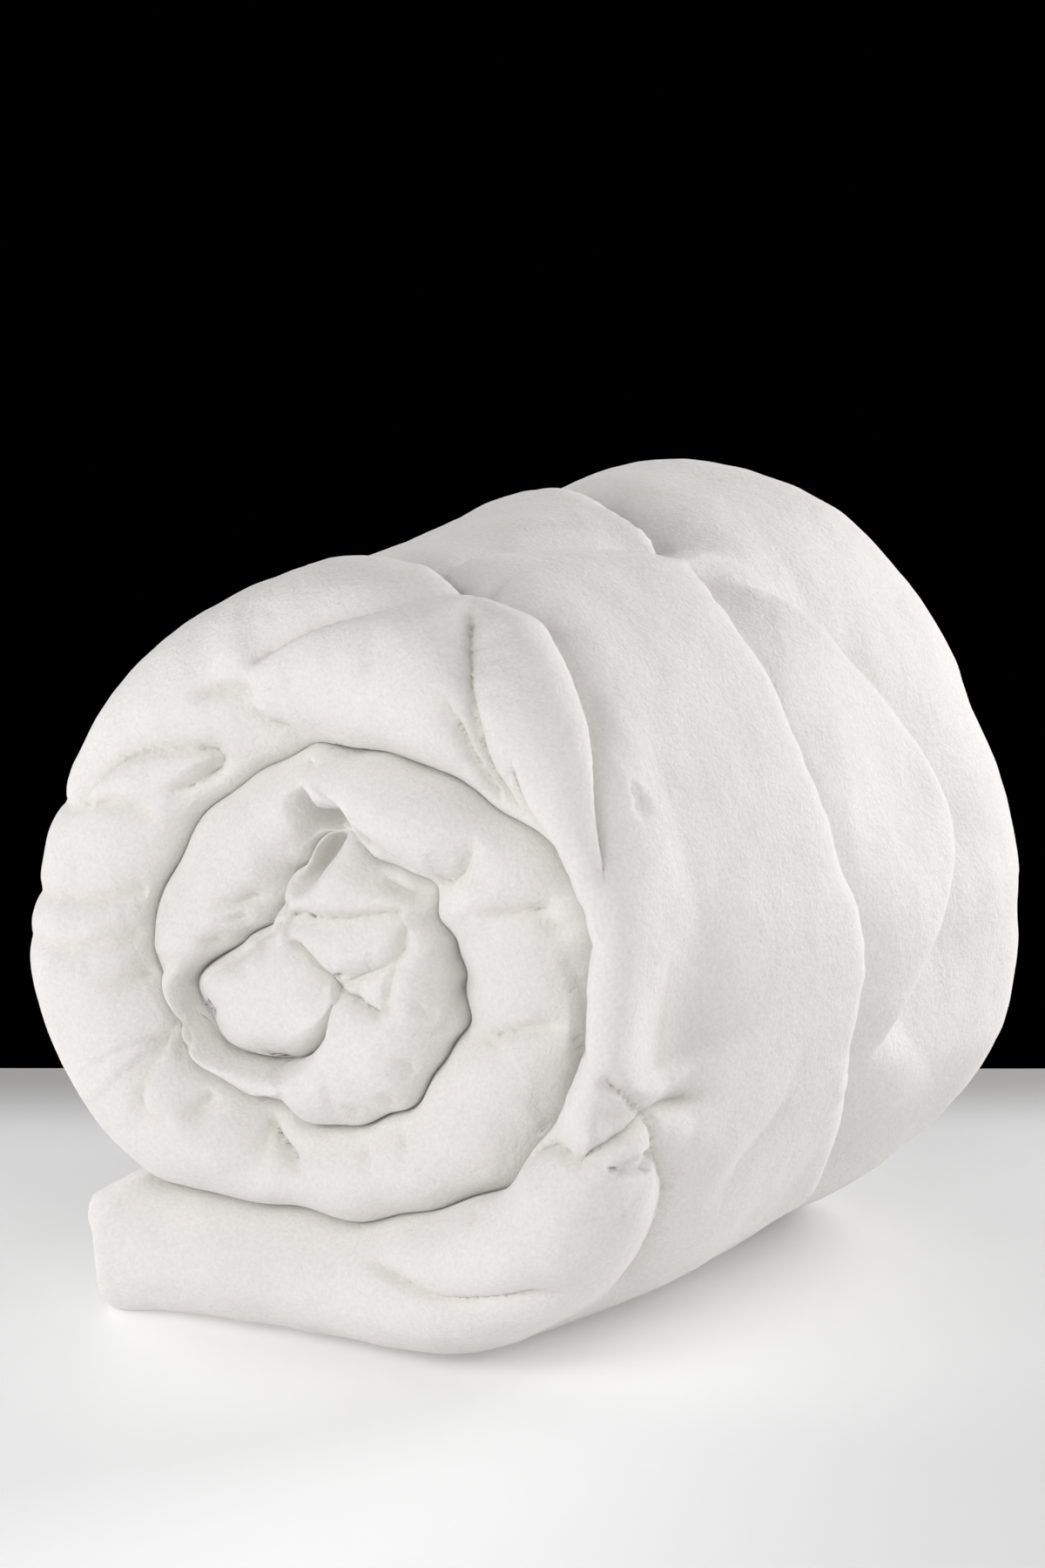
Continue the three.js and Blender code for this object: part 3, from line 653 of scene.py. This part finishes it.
def pressFolds(place, free, radial, folds):
    # every fold moves the shown cloth along its outward direction, and the lapping ones sideways.
    # Where grooves cross, their depths join as the cube root of the sum of their cubes.
    outward = outwardOf(place)
    way = outward.copy()
    way[..., 0] *= radial
    way[..., 2] *= radial
    way /= np.linalg.norm(way, axis=2, keepdims=True) + 1e-9
    points = place.reshape(-1, 3)
    normals = outward.reshape(-1, 3)
    shown = free.reshape(-1) > 0.02
    cubes = np.zeros(len(points))
    lifts = np.zeros(len(points))
    shift = np.zeros((len(points), 3))
    crease = np.zeros(len(points))
    for fold in folds:
        near, depth, raised, push, deep = pressFold(fold, points, normals, shown)
        cubes[near] += depth**3
        lifts[near] += raised
        shift[near] += push
        # the strongest painted crease shade of all folds
        crease[near] = np.maximum(crease[near], deep)
    amount = (lifts - np.cbrt(cubes)).reshape(free.shape) * free
    moved = place + way * amount[..., None]
    pushed = free * np.clip(radial + foldShape["pushOnFace"], 0, 1)
    moved = moved + shift.reshape(place.shape) * pushed[..., None]
    return moved, crease.reshape(free.shape)


def softNoise(points, length, seedStep):
    # sum of sine waves in random directions, about one unit high
    rng = np.random.default_rng(seed + seedStep)
    total = np.zeros(points.shape[:-1])
    for _ in range(swellWaves):
        direction = rng.normal(size=3)
        direction /= np.linalg.norm(direction)
        turns = 2 * math.pi / (length * rng.uniform(*swellSpread))
        total += np.sin(points @ direction * turns + rng.uniform(0, 2 * math.pi))
    return total / math.sqrt(swellWaves)


def ringFaces(columns, low, high, count):
    # quads between each ring from low to high and the next one, at the given columns
    i = np.arange(low, high)[:, None] * count
    a = i + columns[None, :]
    b = i + np.roll(columns, -1)[None, :]
    return np.stack([a, b, b + count, a + count], axis=2).reshape(-1, 4).tolist()


def bandFaces(offset, ringCount, count):
    # all points are joined on the outer turn; further in only some of those that lie hidden
    # between the turns. Where the two meet, each coarse face takes in the fine points beside it.
    d = density
    column = np.arange(count)
    outside = d["nearEdge"]
    far = outside + d["outside"]
    inside = far + d["farEdge"]
    kept = np.concatenate([
        column[:outside + 1],
        column[outside + d["hiddenStep"]:far:d["hiddenStep"]],
        column[far:inside:d["farStep"]],
        column[inside::d["inside"] // 2],
    ])
    switch = offset + d["outerTurnRings"] + d["fineBeyond"]
    faces = ringFaces(column, 0, switch, count)
    faces += ringFaces(kept, switch + 1, ringCount - 1, count)
    fine = switch * count
    coarse = fine + count
    for start, end in zip(kept.tolist(), kept.tolist()[1:] + [count]):
        between = [fine + c % count for c in range(start, end + 1)]
        faces.append(between + [coarse + end % count, coarse + start])
    for ring, flipped in ((0, True), (ringCount - 1, False)):
        cap = [ring * count + c for c in (column if ring == 0 else kept).tolist()]
        faces.append(cap[::-1] if flipped else cap)
    return faces


def makeQuilt():
    # the wound band, pressed by its folds and swollen a little unevenly. It lies flat on z = 0.
    # Points that no face uses are left out.
    place, free, radial, offset = windBand()
    place, crease = pressFolds(place, free, radial, allFolds())
    print("folds pressed")
    way = outwardOf(place)
    way[..., 0] *= radial
    way[..., 2] *= radial
    swell = sum(height * softNoise(place, length, draw) for height, length, draw in swells)
    place = place + way * (swell * free)[..., None]
    place[..., 2] = np.maximum(place[..., 2], 0)
    ringCount, count = free.shape
    faces = bandFaces(offset, ringCount, count)
    points = place.reshape(-1, 3) * mm
    used = np.unique(np.concatenate([np.array(face) for face in faces]))
    number = np.zeros(len(points), dtype=int)
    number[used] = np.arange(len(used))
    mesh = bpy.data.meshes.new("quiltCloth")
    mesh.from_pydata(points[used].tolist(), [], [number[face].tolist() for face in faces])
    # the crease attribute, which the cloth material turns into painted shade
    attribute = mesh.attributes.new("crease", "FLOAT", "POINT")
    attribute.data.foreach_set("value", crease.reshape(-1)[used].astype(np.float32))
    mesh.shade_smooth()
    quilt = bpy.data.objects.new("quiltRoll", mesh)
    bpy.context.scene.collection.objects.link(quilt)
    return quilt


quiltRoll = makeQuilt()
print("quilt made,", sum(len(face.vertices) - 2 for face in quiltRoll.data.polygons), "triangles")


# Cloth of the quilt: warm off-white brushed cotton, with painted shade that makes it darker and warmer
# in the creases

clothLook = {
    "cloth": (0.81, 0.795, 0.765, 1),
    # painted shade: the colour deep in a crease, darker and warmer for the shade and bounced light there
    "paintedCreaseShade": (0.74, 0.705, 0.64, 1),
    "roughness": 0.95,
    "specular": 0.12,
    "sheen": 0.2,
    "sheenRoughness": 0.6,
    "fuzzScale": 420,          # short fibres, about 2 mm
    "fuzzHeight": 0.0012,
    "tuftScale": 120,          # small tufts and pulls of the filling, about 8 mm
    "tuftHeight": 0.0014,
    "pullScale": 26,           # soft drags in the cloth
    "pullHeight": 0.0035,
    "bumpStrength": 0.6,
    "lint": (0.95, 1.04),      # darkest and lightest share of the cloth's colour from fibre to fibre
    "patchScale": 9,
    "patches": (0.96, 1.02),   # the same from patch to patch
    "noiseMostly": (0.3, 0.7),  # where a noise lies most of the time
}


def addNoise(nodes, links, place, scale, detail, roughness=0.55, distortion=0.0):
    noise = nodes.new("ShaderNodeTexNoise")
    noise.inputs["Scale"].default_value = scale
    noise.inputs["Detail"].default_value = detail
    noise.inputs["Roughness"].default_value = roughness
    noise.inputs["Distortion"].default_value = distortion
    links.new(place.outputs["Object"], noise.inputs["Vector"])
    return noise


def makeClothMaterial():
    # cloth colour, darkened and warmed by the crease attribute as painted shade, times two noises, with
    # three layers of relief
    look = clothLook
    material = bpy.data.materials.new("brushedCotton")
    material.use_nodes = True
    nodes = material.node_tree.nodes
    links = material.node_tree.links
    shader = nodes["Principled BSDF"]
    shader.inputs["Roughness"].default_value = look["roughness"]
    shader.inputs["Specular IOR Level"].default_value = look["specular"]
    shader.inputs["Sheen Weight"].default_value = look["sheen"]
    shader.inputs["Sheen Roughness"].default_value = look["sheenRoughness"]
    place = nodes.new("ShaderNodeTexCoord")
    crease = nodes.new("ShaderNodeAttribute")
    crease.attribute_name = "crease"
    # painted shade: mixes the cloth colour towards the darker crease colour by the crease attribute
    creaseShadeMix = nodes.new("ShaderNodeMix")
    creaseShadeMix.data_type = "RGBA"
    creaseShadeMix.inputs["A"].default_value = look["cloth"]
    creaseShadeMix.inputs["B"].default_value = look["paintedCreaseShade"]
    links.new(crease.outputs["Fac"], creaseShadeMix.inputs["Factor"])
    colour = creaseShadeMix.outputs["Result"]
    tones = ((look["fuzzScale"], 3, look["lint"]), (look["patchScale"], 4, look["patches"]))
    for scale, detail, (low, high) in tones:
        # the noise becomes a share of the colour, from low to high
        noise = addNoise(nodes, links, place, scale, detail)
        share = nodes.new("ShaderNodeMapRange")
        share.inputs["From Min"].default_value = look["noiseMostly"][0]
        share.inputs["From Max"].default_value = look["noiseMostly"][1]
        share.inputs["To Min"].default_value = low
        share.inputs["To Max"].default_value = high
        shade = nodes.new("ShaderNodeMix")
        shade.data_type = "RGBA"
        shade.blend_type = "MULTIPLY"
        shade.inputs["Factor"].default_value = 1
        links.new(noise.outputs["Fac"], share.inputs["Value"])
        links.new(colour, shade.inputs["A"])
        links.new(share.outputs["Result"], shade.inputs["B"])
        colour = shade.outputs["Result"]
    links.new(colour, shader.inputs["Base Color"])
    normal = None
    layers = (
        (look["pullScale"], 3, 0.5, 0.6, look["pullHeight"]),
        (look["tuftScale"], 4, 0.6, 0.8, look["tuftHeight"]),
        (look["fuzzScale"], 4, 0.65, 0.0, look["fuzzHeight"]),
    )
    for scale, detail, roughness, distortion, height in layers:
        noise = addNoise(nodes, links, place, scale, detail, roughness, distortion)
        bump = nodes.new("ShaderNodeBump")
        bump.inputs["Strength"].default_value = look["bumpStrength"]
        bump.inputs["Distance"].default_value = height
        links.new(noise.outputs["Fac"], bump.inputs["Height"])
        if normal:
            links.new(normal, bump.inputs["Normal"])
        normal = bump.outputs["Normal"]
    links.new(normal, shader.inputs["Normal"])
    return material


quiltRoll.data.materials.append(makeClothMaterial())
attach(quiltRoll, "root")
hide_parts("quilt")
print("cloth material made")


# Camera, pale table top and soft studio light

cameraView = {
    "azimuth": 29,
    "elevation": 13.5,
    "distance": 3.6,
    "circles": (0, 0, 0.225),  # the point that the azimuth and elevation are seen from
    "looksAt": (-0.013, 0.011, 0.2946),
    "lens": 140,
    "sensor": 36,
}


def fromAngles(azimuth, elevation, distance):
    # a place seen from the origin: azimuth turns from -Y towards +X, elevation rises from level
    turn = math.radians(azimuth)
    rise = math.radians(elevation)
    level = distance * math.cos(rise)
    return Vector((level * math.sin(turn), -level * math.cos(turn), distance * math.sin(rise)))


def aimAt(thing, target):
    toward = target - thing.location
    thing.rotation_euler = toward.to_track_quat("-Z", "Y").to_euler()


def makeCamera():
    v = cameraView
    data = bpy.data.cameras.new("photoCamera")
    data.lens = v["lens"]
    data.sensor_width = v["sensor"]
    camera = bpy.data.objects.new("photoCamera", data)
    camera.location = Vector(v["circles"]) + fromAngles(v["azimuth"], v["elevation"], v["distance"])
    aimAt(camera, Vector(v["looksAt"]))
    bpy.context.scene.collection.objects.link(camera)
    bpy.context.scene.camera = camera


tableTop = {
    "behind": 0.466,               # from the origin to the far edge, along the camera's level direction
    "inFront": 3.2,
    "halfWidth": 2.6,
    "thickness": 0.03,
    "colour": (0.80, 0.80, 0.805, 1),
    # painted shade: the far part of the table is darker, where less light falls
    "paintedFarShade": (0.46, 0.455, 0.45, 1),
    "darkEdge": (-0.45, -0.30),    # where the painted shade of the far edge fades into the table's colour, towards the camera
    "roughness": 0.55,
    "specular": 0.3,
    "glow": 0.26,                  # light from the table top itself, on its left and in front
    "glowLeft": (-0.35, 0.3),
    "glowFront": (-0.38, 0.0),
}


def makeTable():
    t = tableTop
    azimuth = math.radians(cameraView["azimuth"])
    away = np.array([-math.sin(azimuth), math.cos(azimuth)])
    aside = np.array([math.cos(azimuth), math.sin(azimuth)])
    corners = [(-t["inFront"], -1), (-t["inFront"], 1), (t["behind"], 1), (t["behind"], -1)]
    flat = [away * along + aside * side * t["halfWidth"] for along, side in corners]
    points = [(x, y, z) for z in (-t["thickness"], 0) for x, y in flat]
    faces = [(3, 2, 1, 0), (4, 5, 6, 7), (0, 1, 5, 4), (1, 2, 6, 5), (2, 3, 7, 6), (3, 0, 4, 7)]
    mesh = bpy.data.meshes.new("tableTop")
    mesh.from_pydata(points, [], faces)
    table = bpy.data.objects.new("tableTop", mesh)
    bpy.context.scene.collection.objects.link(table)
    material = bpy.data.materials.new("paleTable")
    material.use_nodes = True
    shader = material.node_tree.nodes["Principled BSDF"]
    shader.inputs["Roughness"].default_value = t["roughness"]
    shader.inputs["Specular IOR Level"].default_value = t["specular"]
    shader.inputs["Emission Color"].default_value = (1, 1, 1, 1)
    nodes = material.node_tree.nodes
    links = material.node_tree.links
    place = nodes.new("ShaderNodeTexCoord")
    shares = []
    eased = ((-aside, t["glowLeft"]), (-away, t["glowFront"]), (-away, t["darkEdge"]))
    for direction, (low, high) in eased:
        # how far a point lies along a level direction, eased from 0 to 1 between low and high
        reach = nodes.new("ShaderNodeVectorMath")
        reach.operation = "DOT_PRODUCT"
        reach.inputs[1].default_value = (direction[0], direction[1], 0)
        ease = nodes.new("ShaderNodeMapRange")
        ease.interpolation_type = "SMOOTHSTEP"
        ease.inputs["From Min"].default_value = low
        ease.inputs["From Max"].default_value = high
        links.new(place.outputs["Object"], reach.inputs[0])
        links.new(reach.outputs["Value"], ease.inputs["Value"])
        shares.append(ease.outputs["Result"])
    # painted shade: the table's colour darkens towards its far edge
    fade = nodes.new("ShaderNodeMix")
    fade.data_type = "RGBA"
    fade.inputs["A"].default_value = t["paintedFarShade"]
    fade.inputs["B"].default_value = t["colour"]
    links.new(shares[2], fade.inputs["Factor"])
    links.new(fade.outputs["Result"], shader.inputs["Base Color"])
    both = nodes.new("ShaderNodeMath")
    both.operation = "MULTIPLY"
    links.new(shares[0], both.inputs[0])
    links.new(shares[1], both.inputs[1])
    glow = nodes.new("ShaderNodeMath")
    glow.operation = "MULTIPLY"
    glow.inputs[1].default_value = t["glow"]
    links.new(both.outputs["Value"], glow.inputs[0])
    links.new(glow.outputs["Value"], shader.inputs["Emission Strength"])
    mesh.materials.append(material)


softBoxes = [
    {"name": "rightBehind", "azimuth": 150, "elevation": 25, "distance": 2.6, "watts": 62},
    {"name": "right", "azimuth": 84, "elevation": 20, "distance": 2.6, "watts": 20},
    {"name": "front", "azimuth": 25, "elevation": 38, "distance": 2.8, "watts": 16},
    {"name": "frontLeft", "azimuth": -15, "elevation": 18, "distance": 2.8, "watts": 32},
    {"name": "left", "azimuth": -50, "elevation": 10, "distance": 2.6, "watts": 10},
    {"name": "leftBehind", "azimuth": -95, "elevation": 15, "distance": 2.6, "watts": 28},
]
softBoxSize = 1.6
softBoxAim = Vector((0, 0, 0.2))
worldLight = 0.02  # lights the quilt a little, and stays black for the camera


def makeLights():
    for box in softBoxes:
        data = bpy.data.lights.new(box["name"], "AREA")
        data.size = softBoxSize
        data.energy = box["watts"]
        light = bpy.data.objects.new(box["name"], data)
        light.location = softBoxAim + fromAngles(box["azimuth"], box["elevation"], box["distance"])
        aimAt(light, softBoxAim)
        bpy.context.scene.collection.objects.link(light)


def makeWorld():
    world = bpy.data.worlds.new("darkStudio")
    world.use_nodes = True
    nodes = world.node_tree.nodes
    links = world.node_tree.links
    background = nodes["Background"]
    rays = nodes.new("ShaderNodeLightPath")
    strength = nodes.new("ShaderNodeMapRange")
    strength.inputs["To Min"].default_value = worldLight
    strength.inputs["To Max"].default_value = 0.0
    background.inputs["Color"].default_value = (1, 1, 1, 1)
    links.new(rays.outputs["Is Camera Ray"], strength.inputs["Value"])
    links.new(strength.outputs["Result"], background.inputs["Strength"])
    bpy.context.scene.world = world


makeCamera()
makeTable()
makeLights()
makeWorld()
bpy.context.scene.view_settings.view_transform = "Standard"
print("camera, table and lights made")
